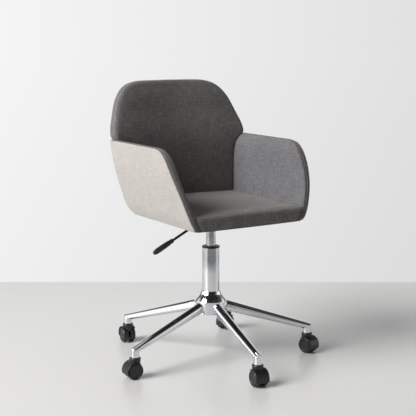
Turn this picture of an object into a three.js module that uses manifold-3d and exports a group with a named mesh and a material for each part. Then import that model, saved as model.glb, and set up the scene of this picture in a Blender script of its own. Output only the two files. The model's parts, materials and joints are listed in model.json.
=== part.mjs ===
// Swivel office chair: an upholstered bucket seat on a gas lift and a five-leg base with twin-wheel
// casters. Millimetres, +Z up. The chair faces -Y, and +X is the sitter's left. The origin is on the
// floor at the centre of the footprint.

import * as THREE from 'three';
import { mergeVertices } from 'three/addons/utils/BufferGeometryUtils.js';
import Module from 'manifold-3d';

const wasm = await Module();
wasm.setup();

// ---------------------------------------------------------------- driving dimensions

const gap = 0.4;                                    // clearance between pieces that touch in reality
const sides = { large: 28, medium: 20, small: 14 }; // facets round a turned piece, by its size
const swivelAxis = { x: 12.5, y: 17.8 };            // the gas lift, seen from the footprint's centre

// five-leg base
const legCount = 5;
const firstLegTurn = -6.2;                          // degrees from straight ahead, towards +X
const legReach = 283;                               // swivel axis to caster stem
const hub = { bottom: 132, side: 168, top: 195, radius: 47, wall: 3.5 };
const legRoot = { z: 148.5, height: 33 };
const legTip = { z: 78, height: 20 };
const legWidthRatio = 0.92;                         // the tube is an upright oval
const legWall = 2;
const legTube = { sunkInHub: 8, rise: 2.4, pastBoss: 16, boreShort: 6 };  // where the tube starts and ends
const boss = { radius: 11.5, bottom: 58, top: 76 };

// casters
const wheelRadius = 23;
const wheelSides = 20;
const axleHeight = wheelRadius * Math.cos(Math.PI / wheelSides);  // a flat of the tread is on the floor
const casterTrail = 6;                              // stem axis to axle
const casterWidth = 39;
const casterTurns = [-5.5, 12.9, -67, 173.7, -92.1];              // degrees, where each hood points
const hoodRadius = 25.5;
const wheelInnerFace = 4.8;
const webHalf = 4;
const axleRadius = 3;
const stem = { radius: 5.5, bottom: 46.6, top: 84 };

// gas lift
const column = { radius: 25, bore: 23, bottom: 132, top: 319.4, floor: 3.5 };
const bush = { bottom: 225, bore: 14.4, lip: 25.6, top: 324 };
const cylinder = { radius: 14, bore: 11.6, bottom: 200, taperStart: 345, top: 388, topRadius: 13.2 };
const rod = { radius: 5, bottom: 127, top: 300, pistonRadius: 11.2, pistonHeight: 8 };
const button = { radius: 3, bottom: 376, top: 394 };

// seat mechanism
const plate = { bottom: 406.8, top: 410, width: 170, depth: 150, corner: 12 };
const boltPattern = { x: 65, y: 55 };
const bolt = { radius: 4, headRadius: 7, headHeight: 5.2, top: 416.6 };
const housing = { left: -47.5, right: 45, half: 31, bottom: 373, top: 406.4, wall: 2.5 };
const socket = { radius: 19, bottom: 367.5, top: 386 };
const pivot = { x: -32, z: 398.3, pinRadius: 2.5, hubRadius: 7, hubWidth: 9 };
const lever = {
  radius: 4, innerEnd: 7, slope: 26.5, rodEnd: 114, gripStart: 103, gripLength: 70, gripBore: 4.4,
};

// shell: layers counted inward from the outer face
const outerSkin = 4;
const board = 6;
const armThickness = 22;
const boardDepth = outerSkin + gap;                 // depths of the layers' outer faces
const padDepth = boardDepth + board + gap;
const shellBottom = 411;
const padBottom = 418.7;
const armTop = 620;
const seatTop = 456;
const backTop = 783;
const seatFront = -207;
const seatBoard = { bottom: 410.3, top: 418.3, halfWidth: 168, front: -201 };

// shell side walls: half width of the outer face at each height
const sideWall = new THREE.SplineCurve([
  [173, 409], [189, 440], [202, 480], [213, 520], [221, 560], [224.5, 600], [225.5, 622],
].map(([x, z]) => new THREE.Vector2(x, z)));

// inner face of the arm pads where they meet the back: half width at each height. At the front of
// the arms this face runs parallel to the outer one.
const armSeam = new THREE.SplineCurve([
  [151, 409], [167, 440], [172, 456], [172.3, 497], [173.7, 542], [176.6, 572], [182, 595], [192.5, 610.5],
  [203, 622],
].map(([x, z]) => new THREE.Vector2(x, z)));
const armTaper = { front: -196, rear: 150 };        // the pads thicken between these
const cushionEase = 1.2;                            // the seat cushion stops this far short of the pads

// shell back: outer face seen from the side, rolled under at the bottom
const rearFace = new THREE.SplineCurve([
  [149, 408], [156, 411], [177, 425], [186, 450], [188, 500], [197, 610], [226, 700], [252, 784],
].map(([y, z]) => new THREE.Vector2(y, z)));

// the face that the sitter leans on, seen from the side
const backrestFace = new THREE.SplineCurve([
  [155, 416], [152, 500], [159, 610], [190, 700], [217, 784],
].map(([y, z]) => new THREE.Vector2(y, z)));

// half of the upper back's outline, seen from the front
const shoulderLine = [
  [214.5, 626], [217.4, 640], [213.5, 660], [205.7, 680], [190.5, 720], [179.3, 740], [162.4, 760],
  [140, 774], [110, 781.5],
];

// front edge of an arm, seen from the side
const armFrontEdge = [[-202, 424], [-196, 460], [-185, 500], [-167, 540], [-143, 580], [-126, 600]];

// ---------------------------------------------------------------- materials

const finish = (color, roughness, metalness) =>
  () => new THREE.MeshStandardMaterial({ color, roughness, metalness });
const chrome = finish(0xdadade, 0.12, 1);
const steel = finish(0x9a9a9c, 0.4, 1);
const paintedSteel = finish(0x1c1c1e, 0.55, 0.2);
const blackPlastic = finish(0x242328, 0.5, 0);
const gripPlastic = finish(0x1e1e20, 0.45, 0);
const rubber = finish(0x151515, 0.9, 0);
const plywood = finish(0xb99a6b, 0.7, 0);
const greyFabric = finish(0x4b4847, 0.95, 0);
const armFabric = finish(0x817f84, 0.95, 0);
const beigeFabric = finish(0xd5d0ca, 0.95, 0);

// ---------------------------------------------------------------- solids

const radians = THREE.MathUtils.degToRad;

// Closed geometry with shared corners, no empty triangles, and every face turned outward.
function weld(source) {
  const bare = source.index ? source.toNonIndexed() : source;
  bare.deleteAttribute('normal');
  bare.deleteAttribute('uv');
  const merged = mergeVertices(bare, 1e-4);
  const corners = [];
  const index = merged.index.array;
  for (let i = 0; i < index.length; i += 3) {
    const [a, b, c] = index.slice(i, i + 3);
    if (a !== b && b !== c && c !== a) corners.push(a, b, c);
  }
  merged.setIndex(signedVolume(merged.attributes.position, corners) < 0 ? corners.reverse() : corners);
  return merged;
}

function signedVolume(position, corners) {
  const [a, b, c] = [new THREE.Vector3(), new THREE.Vector3(), new THREE.Vector3()];
  let sum = 0;
  for (let i = 0; i < corners.length; i += 3) {
    a.fromBufferAttribute(position, corners[i]);
    b.fromBufferAttribute(position, corners[i + 1]);
    c.fromBufferAttribute(position, corners[i + 2]);
    sum += a.dot(b.cross(c));
  }
  return sum;
}

function toSolid(geometry) {
  const closed = weld(geometry);
  return new wasm.Manifold(new wasm.Mesh({
    numProp: 3,
    vertProperties: new Float32Array(closed.attributes.position.array),
    triVerts: new Uint32Array(closed.index.array),
  }));
}

function toGeometry(solid) {
  const { vertProperties, triVerts } = solid.getMesh();
  const geometry = new THREE.BufferGeometry();
  geometry.setAttribute('position', new THREE.BufferAttribute(new Float32Array(vertProperties), 3));
  geometry.setIndex([...triVerts]);
  return geometry;
}

const join = (...geometries) => toGeometry(geometries.map(toSolid).reduce((a, b) => a.add(b)));
const cut = (geometry, ...tools) =>
  toGeometry(tools.map(toSolid).reduce((a, b) => a.subtract(b), toSolid(geometry)));
const common = (a, b) => toGeometry(toSolid(a).intersect(toSolid(b)));

// Solid of revolution about +Z. The profile is a list of [radius, z], on the axis at both ends.
function turned(profile, facets = sides.medium) {
  const points = profile.map(([r, z]) => new THREE.Vector2(r, z));
  return new THREE.LatheGeometry(points, facets).rotateX(Math.PI / 2);
}

// The same for a profile that goes round a bore and closes on itself.
const turnedRing = (profile, facets) => turned([...profile, profile[0]], facets);

// A round bar between two points, tapering to endRadius.
function bar(radius, from, to, facets = sides.small, endRadius = radius) {
  const start = new THREE.Vector3(...from);
  const along = new THREE.Vector3(...to).sub(start);
  const geometry = new THREE.CylinderGeometry(endRadius, radius, along.length(), facets);
  geometry.translate(0, along.length() / 2, 0);
  geometry.applyQuaternion(new THREE.Quaternion().setFromUnitVectors(
    new THREE.Vector3(0, 1, 0), along.normalize()));
  return geometry.translate(start.x, start.y, start.z);
}

function box(low, high) {
  const size = high.map((value, i) => value - low[i]);
  return new THREE.BoxGeometry(...size).translate(...low.map((value, i) => value + size[i] / 2));
}

const flatExtrude = (shape, depth, curveSegments = 4) =>
  new THREE.ExtrudeGeometry(shape, { depth, bevelEnabled: false, curveSegments });

// Extrude an outline of (y, z) from x = low to x = high.
function extrudeX(shape, low, high, curveSegments) {
  const axes = new THREE.Matrix4().makeBasis(
    new THREE.Vector3(0, 1, 0), new THREE.Vector3(0, 0, 1), new THREE.Vector3(1, 0, 0));
  return flatExtrude(shape, high - low, curveSegments).applyMatrix4(axes).translate(low, 0, 0);
}

// Extrude an outline of (x, z) from y = low to y = high.
function extrudeY(shape, low, high, curveSegments) {
  const axes = new THREE.Matrix4().makeBasis(
    new THREE.Vector3(1, 0, 0), new THREE.Vector3(0, 0, 1), new THREE.Vector3(0, -1, 0));
  return flatExtrude(shape, high - low, curveSegments).applyMatrix4(axes).translate(0, high, 0);
}

function roundedRectangle(width, depth, radius) {
  const [x, y] = [width / 2, depth / 2];
  const shape = new THREE.Shape();
  shape.moveTo(-x + radius, -y);
  shape.absarc(x - radius, -y + radius, radius, -Math.PI / 2, 0);
  shape.absarc(x - radius, y - radius, radius, 0, Math.PI / 2);
  shape.absarc(-x + radius, y - radius, radius, Math.PI / 2, Math.PI);
  shape.absarc(-x + radius, -y + radius, radius, Math.PI, 1.5 * Math.PI);
  return shape;
}

const chair = new THREE.Group();
chair.position.set(swivelAxis.x, swivelAxis.y, 0);

function add(name, geometry, material, parent = chair) {
  const mesh = new THREE.Mesh(weld(geometry), material());
  mesh.name = name;
  parent.add(mesh);
}

// ---------------------------------------------------------------- base

function makeHub() {
  return turnedRing([
    [column.radius + gap, hub.bottom], [column.radius + hub.wall, hub.bottom],
    [column.radius + hub.wall, hub.side], [hub.radius - hub.wall, hub.side - 10],
    [hub.radius - hub.wall, hub.bottom], [hub.radius - 1, hub.bottom],
    [hub.radius, hub.bottom + 1], [hub.radius, hub.side],
    [hub.radius - 7, hub.side + 9], [hub.radius - 15, hub.side + 18],
    [column.radius + 2.5, hub.top], [column.radius + gap, hub.top],
  ], sides.large);
}

// An oval tube that tapers from the hub. Its end turns down into an upright boss, like a mitred elbow.
function makeLeg() {
  const hubBody = bar((hub.radius + gap) / Math.cos(Math.PI / sides.medium), [0, 0, 100], [0, 0, 200],
    sides.medium);
  const root = new THREE.Vector3(0, -hub.radius + legTube.sunkInHub, legRoot.z + legTube.rise);
  const tip = new THREE.Vector3(0, -legReach, legTip.z);
  const tube = (inset, overrun) => {
    const share = 1 + overrun / (tip.y - root.y);
    const halfHeight = THREE.MathUtils.lerp(legRoot.height, legTip.height, share) / 2;
    return bar(legRoot.height / 2 - inset, root, root.clone().lerp(tip, share), sides.small,
      halfHeight - inset).scale(legWidthRatio, 1, 1);
  };
  const post = (radius, low, high) =>
    turned([[0, low], [radius, low], [radius, high], [0, high]], sides.small).translate(0, -legReach, 0);
  const hubSide = box([-hub.radius, -legReach, 0], [hub.radius, 0, 2 * legRoot.z]);
  const roundedEnd = join(post(boss.radius, 0, legRoot.z), hubSide);
  const hollowTube = cut(common(tube(0, -legTube.pastBoss), roundedEnd), tube(legWall, legTube.boreShort));
  const stemBore = post(stem.radius + gap, boss.bottom - 1, stem.top + gap);
  return cut(join(hollowTube, post(boss.radius, boss.bottom, boss.top)), hubBody, stemBore);
}

// ---------------------------------------------------------------- caster, hood pointing to -Y

function makeHood() {
  const [overTop, belowAxle] = [radians(55), radians(200)];
  const side = new THREE.Shape();
  side.moveTo(12, 0);
  side.absarc(0, 0, 12, radians(-20), overTop, false);
  side.absarc(0, 0, hoodRadius, overTop, belowAxle, false);
  side.absarc(0, 0, 12, belowAxle, radians(340), false);
  const body = extrudeX(side, -casterWidth / 2, casterWidth / 2, 5)
    .translate(0, -casterTrail, axleHeight);
  const collar = turned([
    [0, 34], [14.5, 34], [15.6, 54], [15.6, boss.bottom - gap], [0, boss.bottom - gap],
  ], sides.small);
  const wheelRooms = [-1, 1].map((side) => bar(
    wheelRadius + 0.8, [side * webHalf, -casterTrail, axleHeight],
    [side * (casterWidth / 2 + 1), -casterTrail, axleHeight], sides.medium));
  const stemBore = bar(stem.radius + gap, [0, 0, stem.bottom - gap], [0, 0, boss.bottom + 1]);
  const axleBore = bar(axleRadius + gap, [-10, -casterTrail, axleHeight], [10, -casterTrail, axleHeight]);
  return cut(join(body, collar), ...wheelRooms, stemBore, axleBore);
}

const makeStem = () => turned([
  [0, stem.bottom], [stem.radius, stem.bottom], [stem.radius, stem.top - 10],
  [stem.radius - 1, stem.top - 9], [stem.radius - 1, stem.top - 5], [stem.radius, stem.top - 4],
  [stem.radius - 1, stem.top], [0, stem.top],
], sides.small);

function makeAxle() {
  const half = casterWidth / 2 - 4;
  return bar(axleRadius, [-half, -casterTrail, axleHeight], [half, -casterTrail, axleHeight]);
}

// A wheel about its own axle, turned so that a flat of the tread is at the bottom.
function makeWheel(side) {
  const rim = casterWidth / 2 - 0.5;
  return turned([
    [0, rim - 1.5], [17, rim - 0.5], [wheelRadius - 2, rim - 0.2], [wheelRadius, rim - 2.2],
    [wheelRadius, wheelInnerFace + 1], [wheelRadius - 1, wheelInnerFace],
    [axleRadius + gap, wheelInnerFace], [axleRadius + gap, rim - 3.5], [0, rim - 3.5],
  ], wheelSides)
    .rotateZ(Math.PI / wheelSides)
    .rotateY(side * Math.PI / 2)
    .translate(0, -casterTrail, axleHeight);
}

function makeCaster(number, leg) {
  const caster = new THREE.Group();
  caster.position.set(0, -legReach, 0);
  caster.rotation.z = radians(casterTurns[number - 1] - firstLegTurn - (number - 1) * 360 / legCount);
  leg.add(caster);
  add(`caster_hood_${number}`, makeHood(), blackPlastic, caster);
  add(`caster_stem_${number}`, makeStem(), steel, caster);
  add(`caster_axle_${number}`, makeAxle(), steel, caster);
  add(`wheel_left_${number}`, makeWheel(1), blackPlastic, caster);
  add(`wheel_right_${number}`, makeWheel(-1), blackPlastic, caster);
}

// ---------------------------------------------------------------- gas lift

function makeColumn() {
  return turnedRing([
    [rod.radius + 1, column.bottom], [column.radius, column.bottom], [column.radius, column.top],
    [column.bore, column.top], [column.bore, column.bottom + column.floor],
    [rod.radius + 1, column.bottom + column.floor],
  ], sides.large);
}

function makeGuideBush() {
  return turnedRing([
    [bush.bore, bush.bottom], [column.bore - gap, bush.bottom],
    [column.bore - gap, column.top + gap], [bush.lip, column.top + gap],
    [bush.lip, bush.top - 1.2], [bush.lip - 1.4, bush.top], [bush.bore, bush.top],
  ], sides.large);
}

const bearing = { bottom: column.bottom + column.floor + gap, height: 6, radius: 12 };
const bumper = { bottom: bearing.bottom + bearing.height + gap, height: 16, radius: 13 };

const makeThrustBearing = () => turnedRing([
  [rod.radius + gap, bearing.bottom], [bearing.radius, bearing.bottom],
  [bearing.radius - 1.5, bearing.bottom + bearing.height / 2],
  [bearing.radius, bearing.bottom + bearing.height],
  [rod.radius + gap, bearing.bottom + bearing.height],
]);

const makeBumper = () => turnedRing([
  [rod.radius + 0.6, bumper.bottom], [bumper.radius, bumper.bottom],
  [bumper.radius - 2, bumper.bottom + 8], [bumper.radius, bumper.bottom + bumper.height],
  [rod.radius + 0.6, bumper.bottom + bumper.height],
]);

// A C-shaped spring clip round the rod, under the column's floor.
function makeClip() {
  const clip = new THREE.Shape();
  clip.absarc(0, 0, 9, radians(25), radians(335), false);
  clip.absarc(0, 0, rod.radius + gap, radians(335), radians(25), true);
  return flatExtrude(clip, 2, sides.medium).translate(0, 0, column.bottom - 2 - gap);
}

const makePistonRod = () => turned([
  [0, rod.bottom], [rod.radius - 1, rod.bottom], [rod.radius, rod.bottom + 1],
  [rod.radius, rod.top - rod.pistonHeight], [rod.pistonRadius, rod.top - rod.pistonHeight],
  [rod.pistonRadius, rod.top], [0, rod.top],
]);

const makeGasCylinder = () => turnedRing([
  [rod.radius + gap, cylinder.bottom], [cylinder.radius - 1, cylinder.bottom],
  [cylinder.radius, cylinder.bottom + 1.5], [cylinder.radius, cylinder.taperStart],
  [cylinder.topRadius, cylinder.top], [button.radius + gap, cylinder.top],
  [button.radius + gap, cylinder.top - 5], [cylinder.bore, cylinder.top - 5],
  [cylinder.bore, cylinder.bottom + 6], [rod.radius + gap, cylinder.bottom + 6],
]);

const makeButton = () => turned([
  [0, button.bottom], [button.radius, button.bottom], [button.radius, button.top - 1],
  [button.radius - 1, button.top], [0, button.top],
], sides.small);

// ---------------------------------------------------------------- seat mechanism

// An open-topped steel tray with a tapered socket through its floor.
function makeHousing() {
  const { left, right, half, bottom, top, wall } = housing;
  const tray = cut(box([left, -half, bottom], [right, half, top]),
    box([left + wall, -half + wall, bottom + wall], [right - wall, half - wall, top + 1]));
  const sleeve = bar(socket.radius, [0, 0, socket.bottom], [0, 0, socket.top], sides.medium);
  const bore = bar(cylinder.radius + gap, [0, 0, 360], [0, 0, 400], sides.medium);
  const leverSlot = box([left - 1, -7, 380], [left + wall + 1, 7, 404]);
  const pinHoles = bar(pivot.pinRadius + gap, [pivot.x, -half - 1, pivot.z],
    [pivot.x, half + 1, pivot.z]);
  return cut(join(tray, sleeve), bore, leverSlot, pinHoles);
}

const boltPlaces = [[-1, -1], [1, -1], [1, 1], [-1, 1]]
  .map(([x, y]) => [x * boltPattern.x, y * boltPattern.y]);
const boltHoles = (low, high) =>
  boltPlaces.map(([x, y]) => bar(bolt.radius + gap, [x, y, low], [x, y, high]));

function makePlate() {
  const blank = flatExtrude(roundedRectangle(plate.width, plate.depth, plate.corner),
    plate.top - plate.bottom).translate(0, 0, plate.bottom);
  return cut(blank, ...boltHoles(plate.bottom - 1, plate.top + 1));
}

function makeBolt([x, y]) {
  const headTop = plate.bottom - gap;
  const head = bar(bolt.headRadius, [x, y, headTop - bolt.headHeight], [x, y, headTop], 6);
  return join(head, bar(bolt.radius, [x, y, headTop - 1], [x, y, bolt.top]));
}

const makePivotPin = () => bar(pivot.pinRadius, [pivot.x, -housing.half - 2, pivot.z],
  [pivot.x, housing.half + 2, pivot.z]);

// A point on the lever's outer arm, measured from the pivot.
function leverPoint(distance) {
  const slope = radians(lever.slope);
  return [pivot.x - distance * Math.cos(slope), 0, pivot.z - distance * Math.sin(slope)];
}

function makeLeverRod() {
  const centre = [pivot.x, 0, pivot.z];
  const innerArm = bar(lever.radius, centre, [lever.innerEnd, 0, pivot.z]);
  const outerArm = bar(lever.radius - 0.5, centre, leverPoint(lever.rodEnd));
  const eye = bar(pivot.hubRadius, [pivot.x, -pivot.hubWidth / 2, pivot.z],
    [pivot.x, pivot.hubWidth / 2, pivot.z]);
  const pinBore = bar(pivot.pinRadius + gap, [pivot.x, -10, pivot.z], [pivot.x, 10, pivot.z]);
  return cut(join(innerArm, outerArm, eye), pinBore);
}

function makeLeverGrip() {
  const grip = turned([
    [0, lever.rodEnd - lever.gripStart + gap], [lever.gripBore, lever.rodEnd - lever.gripStart + gap],
    [lever.gripBore, 0], [5.8, 0], [6.8, 4], [7.6, 20], [8, 50], [7.2, 60], [5, 67],
    [0, lever.gripLength],
  ], sides.small).scale(1, 0.9, 1);
  const downhill = new THREE.Vector3(...leverPoint(1)).sub(new THREE.Vector3(...leverPoint(0)));
  grip.applyQuaternion(new THREE.Quaternion().setFromUnitVectors(new THREE.Vector3(0, 0, 1), downhill));
  return grip.translate(...leverPoint(lever.gripStart));
}

// ---------------------------------------------------------------- shell

// The part of a curve of (offset, z) points between two heights, moved sideways. Every piece takes
// its points at the same levels, so that neighbours keep their gap.
const levelStep = 25;
const levels = [padBottom, seatTop];
for (let z = 425; z < backTop; z += levelStep) levels.push(z);
levels.sort((a, b) => a - b);

function between(curve, low, high, shift = 0) {
  const points = curve.getPoints(200);
  const at = (z) => {
    const i = points.findIndex((point) => point.y >= z);
    const [a, b] = [points[i - 1], points[i]];
    return new THREE.Vector2(a.x + (b.x - a.x) * (z - a.y) / (b.y - a.y) + shift, z);
  };
  return [low, ...levels.filter((z) => z > low + 1 && z < high - 1), high].map(at);
}

// A layer between two curves that rise from low to high.
function strip(nearCurve, nearShift, farCurve, farShift, low, high) {
  const near = between(nearCurve, low, high, nearShift);
  const far = between(farCurve, low, high, farShift);
  return new THREE.Shape([...near, ...far.reverse()]);
}

// Side view of an arm, from the rounded front edge to a face parallel to the shell's back.
function armOutline(bottom, fromRear) {
  const rear = between(rearFace, bottom, armTop, -fromRear).reverse();
  const outline = new THREE.Shape();
  outline.moveTo(-194, bottom);
  outline.quadraticCurveTo(-202, bottom, -202, 424);
  outline.splineThru(armFrontEdge.slice(1).map(([y, z]) => new THREE.Vector2(y, z)));
  outline.quadraticCurveTo(-109, armTop, -78, armTop);
  for (const point of rear) outline.lineTo(point.x, point.y);
  return outline;
}

// One layer of an arm: side is -1 or 1, near and far are depths below the outer face.
function makeArmLayer(side, near, far, bottom, fromRear) {
  const wall = strip(sideWall, -near, sideWall, -far, bottom, armTop);
  return trimArm(side, extrudeY(wall, -230, 230), bottom, fromRear);
}

function trimArm(side, layer, bottom, fromRear) {
  const trimmed = common(layer, extrudeX(armOutline(bottom, fromRear), 0, 240, 3));
  return side > 0 ? trimmed : trimmed.scale(-1, 1, 1);
}

// A skin over outlines that have the same number of points, closed at both ends.
function lofted(outlines) {
  const count = outlines[0].length;
  const points = outlines.flat();
  const corners = [];
  for (let k = 0; k + 1 < outlines.length; k += 1) {
    for (let i = 0; i < count; i += 1) {
      const [a, b] = [k * count + i, k * count + (i + 1) % count];
      corners.push(a, b, a + count, b, b + count, a + count);
    }
  }
  const last = (outlines.length - 1) * count;
  const flat = (outline) => outline.map((point) => new THREE.Vector2(point.x, point.z));
  const cap = (outline) => THREE.ShapeUtils.triangulateShape(flat(outline), []);
  for (const [a, b, c] of cap(outlines[0])) corners.push(a, b, c);
  for (const [a, b, c] of cap(outlines.at(-1))) corners.push(last + c, last + b, last + a);
  return new THREE.BufferGeometry().setFromPoints(points).setIndex(corners);
}

// An arm's padding, whose inner face runs from the outer face's slope at the front to the seam.
function makeArmPad(side) {
  const back = between(sideWall, padBottom, armTop, -padDepth).reverse();
  const section = (y, face, shift) => [...between(face, padBottom, armTop, shift), ...back]
    .map((point) => new THREE.Vector3(point.x, y, point.y));
  const layer = lofted([
    section(-230, sideWall, -armThickness), section(armTaper.front, sideWall, -armThickness),
    section(armTaper.rear, armSeam, 0), section(230, armSeam, 0),
  ]);
  return trimArm(side, layer, padBottom, padDepth);
}

// Front view of the back: the lower part fits between the arms, inset from the given face.
function backOutline(bottom, face, sideInset, shoulderInset) {
  const wall = between(face, bottom, armTop + 0.4, -sideInset);
  const shoulder = [[shoulderLine[0][0], armTop + 0.4], ...shoulderLine]
    .map(([x, z]) => new THREE.Vector2(x - shoulderInset, z - (z > armTop + 1 ? shoulderInset / 2 : 0)));
  const right = [...wall, ...shoulder, new THREE.Vector2(80, backTop - shoulderInset)];
  const left = right.map((point) => new THREE.Vector2(-point.x, point.y)).reverse();
  return new THREE.Shape([...right, ...left]);
}

function makeBackLayer(outline, bottom, frontCurve, frontShift, rearShift) {
  const slab = strip(frontCurve, frontShift, rearFace, rearShift, bottom, backTop - 0.2);
  return common(extrudeX(slab, -240, 240), extrudeY(outline, 100, 300));
}

function makeSeatBoard() {
  const { bottom, top, halfWidth, front } = seatBoard;
  const rear = backrestFace.getPoint(0).x - 6;
  const blank = flatExtrude(roundedRectangle(2 * halfWidth, rear - front, 8), top - bottom)
    .translate(0, (front + rear) / 2, bottom);
  return cut(blank, ...boltHoles(bottom - 1, bolt.top + gap));
}

function makeSeatCushion() {
  const walls = between(sideWall, padBottom, seatTop, -armThickness - cushionEase);
  const mirrored = walls.map((point) => new THREE.Vector2(-point.x, point.y)).reverse();
  const across = extrudeY(new THREE.Shape([...walls, ...mirrored]), -230, 200);
  const rear = between(backrestFace, padBottom, seatTop, -gap).reverse();
  const side = new THREE.Shape();
  side.moveTo(seatFront + 6, padBottom);
  side.lineTo(seatFront, padBottom + 8);
  side.lineTo(seatFront + 1, seatTop - 10);
  side.quadraticCurveTo(seatFront + 2, seatTop, seatFront + 12, seatTop);
  for (const point of rear) side.lineTo(point.x, point.y);
  return common(across, extrudeX(side, -240, 240));
}

// ---------------------------------------------------------------- assembly

add('base_hub', makeHub(), chrome);
for (let number = 1; number <= legCount; number += 1) {
  const leg = new THREE.Group();
  leg.rotation.z = radians(firstLegTurn + (number - 1) * 360 / legCount);
  chair.add(leg);
  add(`leg_${number}`, makeLeg(), chrome, leg);
  makeCaster(number, leg);
}

add('column_tube', makeColumn(), chrome);
add('guide_bush', makeGuideBush(), blackPlastic);
add('thrust_bearing', makeThrustBearing(), steel);
add('rubber_bumper', makeBumper(), rubber);
add('retaining_clip', makeClip(), steel);
add('piston_rod', makePistonRod(), steel);
add('gas_cylinder', makeGasCylinder(), chrome);
add('release_button', makeButton(), steel);

add('mechanism_housing', makeHousing(), paintedSteel);
add('mounting_plate', makePlate(), paintedSteel);
boltPlaces.forEach((place, i) => add(`plate_bolt_${i + 1}`, makeBolt(place), steel));
add('lever_pivot_pin', makePivotPin(), steel);
add('lever_rod', makeLeverRod(), paintedSteel);
add('lever_grip', makeLeverGrip(), gripPlastic);

add('seat_board', makeSeatBoard(), beigeFabric);
add('seat_cushion', makeSeatCushion(), greyFabric);
for (const [name, side] of [['left', 1], ['right', -1]]) {
  add(`outer_panel_${name}`, makeArmLayer(side, 0, outerSkin, shellBottom, boardDepth), beigeFabric);
  add(`arm_board_${name}`, makeArmLayer(side, boardDepth, boardDepth + board, padBottom, padDepth), plywood);
  add(`arm_pad_${name}`, makeArmPad(side), armFabric);
}
add('outer_panel_back', makeBackLayer(
  backOutline(shellBottom, sideWall, 0, 0), shellBottom, rearFace, -outerSkin, 0), beigeFabric);
add('back_board', makeBackLayer(
  backOutline(padBottom, sideWall, boardDepth, 4), padBottom, rearFace, -boardDepth - board, -boardDepth),
plywood);
add('back_pad', makeBackLayer(
  backOutline(padBottom, armSeam, gap, 0), padBottom, backrestFace, 0, -padDepth), greyFabric);

const group = new THREE.Group();
group.add(chair);

export default group;
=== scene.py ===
import json
import math

import bmesh
import bpy
import numpy as np
from mathutils import Matrix, Vector


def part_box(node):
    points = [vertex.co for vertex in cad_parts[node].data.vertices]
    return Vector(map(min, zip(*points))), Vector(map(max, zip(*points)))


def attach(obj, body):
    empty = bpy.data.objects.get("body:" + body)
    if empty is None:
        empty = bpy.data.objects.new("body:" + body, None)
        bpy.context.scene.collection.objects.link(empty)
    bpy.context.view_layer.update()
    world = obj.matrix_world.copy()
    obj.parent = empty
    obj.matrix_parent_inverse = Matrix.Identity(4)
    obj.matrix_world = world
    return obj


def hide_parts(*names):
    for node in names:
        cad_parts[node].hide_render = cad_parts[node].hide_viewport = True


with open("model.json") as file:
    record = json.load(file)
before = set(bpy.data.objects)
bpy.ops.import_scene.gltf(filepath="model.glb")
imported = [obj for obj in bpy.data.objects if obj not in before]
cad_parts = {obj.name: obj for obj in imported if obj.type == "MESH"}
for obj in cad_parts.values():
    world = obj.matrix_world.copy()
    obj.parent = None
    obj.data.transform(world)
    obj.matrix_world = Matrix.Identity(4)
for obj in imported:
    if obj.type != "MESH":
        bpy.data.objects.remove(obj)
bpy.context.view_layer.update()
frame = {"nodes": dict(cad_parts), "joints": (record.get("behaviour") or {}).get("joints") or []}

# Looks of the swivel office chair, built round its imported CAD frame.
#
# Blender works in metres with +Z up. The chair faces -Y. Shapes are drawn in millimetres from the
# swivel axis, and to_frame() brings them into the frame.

scene = bpy.context.scene
joints = {joint["name"]: joint for joint in frame["joints"]}
AXIS = Vector(joints["seat_swivel"]["pos_m"]) * Vector((1, 1, 0))
MM = 0.001
LEG_COUNT = 5


# ---------------------------------------------------------------- node helpers

def set_values(node, values):
    """Sets a node's input sockets and properties by name, with _ for each space in a socket's name."""
    for key, value in values.items():
        socket = key.replace("_", " ")
        if socket in node.inputs:
            node.inputs[socket].default_value = value
        else:
            setattr(node, key, value)
    return node


def new_material(name, colour, roughness, metallic=0.0, **sockets):
    """A Principled material. The other sockets are set straight on the shader."""
    material = bpy.data.materials.new(name)
    material.use_nodes = True
    shader = material.node_tree.nodes["Principled BSDF"]
    shader.inputs["Base Color"].default_value = (*colour, 1)
    shader.inputs["Roughness"].default_value = roughness
    shader.inputs["Metallic"].default_value = metallic
    set_values(shader, sockets)
    return material


def add_node(material, kind, links=(), **values):
    """A node with its input sockets and properties set, and its inputs linked."""
    tree = material.node_tree
    node = set_values(tree.nodes.new(kind), values)
    for index, output in links:
        tree.links.new(output, node.inputs[index])
    return node


def ramp(material, factor, stops):
    """A colour ramp through (position, colour) stops."""
    node = add_node(material, "ShaderNodeValToRGB", [("Fac", factor)])
    elements = node.color_ramp.elements
    while len(elements) < len(stops):
        elements.new(0.5)
    for element, (position, colour) in zip(elements, stops):
        element.position = position
        element.color = (*colour, 1) if len(colour) == 3 else colour
    return node.outputs["Color"]


def grey(value):
    return (value, value, value)


def shade(colour, factor):
    return tuple(channel * factor for channel in colour)


def math_node(material, operation, first, second, third=None):
    """A Math node on sockets or numbers."""
    node = add_node(material, "ShaderNodeMath", operation=operation)
    for socket, value in zip(node.inputs, (first, second, third)):
        if isinstance(value, (int, float)):
            socket.default_value = value
        elif value is not None:
            material.node_tree.links.new(value, socket)
    return node.outputs[0]


def connect(material, output, socket):
    shader = material.node_tree.nodes["Principled BSDF"]
    material.node_tree.links.new(output, shader.inputs[socket])


def bump(material, height, strength, distance):
    node = add_node(material, "ShaderNodeBump", [("Height", height)], Strength=strength, Distance=distance)
    connect(material, node.outputs["Normal"], "Normal")


def place_on(material, scale=(1, 1, 1), source="Object"):
    """Object or UV coordinates in metres, multiplied by scale."""
    if source == "UV":
        start = add_node(material, "ShaderNodeUVMap", uv_map=WEAVE_MAP).outputs["UV"]
    else:
        start = add_node(material, "ShaderNodeTexCoord").outputs["Object"]
    return add_node(material, "ShaderNodeMapping", [("Vector", start)], Scale=scale).outputs["Vector"]


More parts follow.
